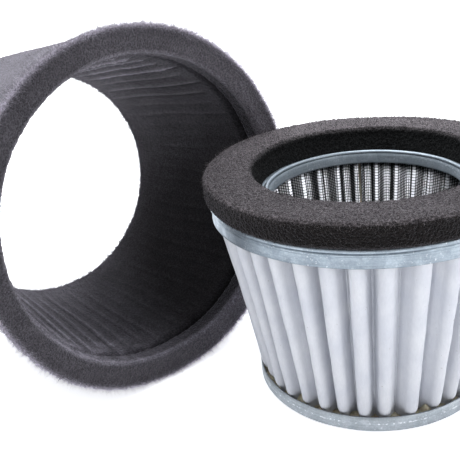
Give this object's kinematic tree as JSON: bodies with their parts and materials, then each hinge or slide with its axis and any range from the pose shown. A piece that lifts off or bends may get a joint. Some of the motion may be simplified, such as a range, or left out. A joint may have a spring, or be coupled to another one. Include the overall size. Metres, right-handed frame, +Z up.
{
  "type": "conical pleated air filter element",
  "caption": "Conical pleated paper air filter element with steel end caps, wire mesh lining and foam gasket, with its tapered foam sleeve lying off it.",
  "frame": {"origin": "centre of the bottom cap's resting face", "axes": "+Z up the element's centre line from the bottom cap to the gasket; +Y the way the lying sleeve's narrow end points, level with the ground; +X makes a right-handed frame and points from the sleeve's side of the row to the element's side"},
  "size_m": [0.1722, 0.2032, 0.1305],
  "materials": {
    "foam": "matte",
    "adhesive": "satin",
    "galvanised": "satin",
    "potting": "satin",
    "filter_paper": "matte",
    "mesh_wire": "satin"
  },
  "bodies": {
    "element": {"gasket": "foam", "gasket_adhesive": "adhesive", "seal_flange": "galvanised", "top_cap": "galvanised", "top_potting": "potting", "pleat_pack": "filter_paper", "pleat_seam": "adhesive", "wire_mesh": "mesh_wire", "bottom_potting": "potting", "bottom_cap": "galvanised"},
    "sleeve": {"foam_sleeve": "foam"}
  },
  "joints": [
    {"name": "sleeve_draw_off", "type": "slide", "parent": "element", "child": "sleeve", "axis": [0, 1, 0], "range_m": [0, 0.073]}
  ]
}
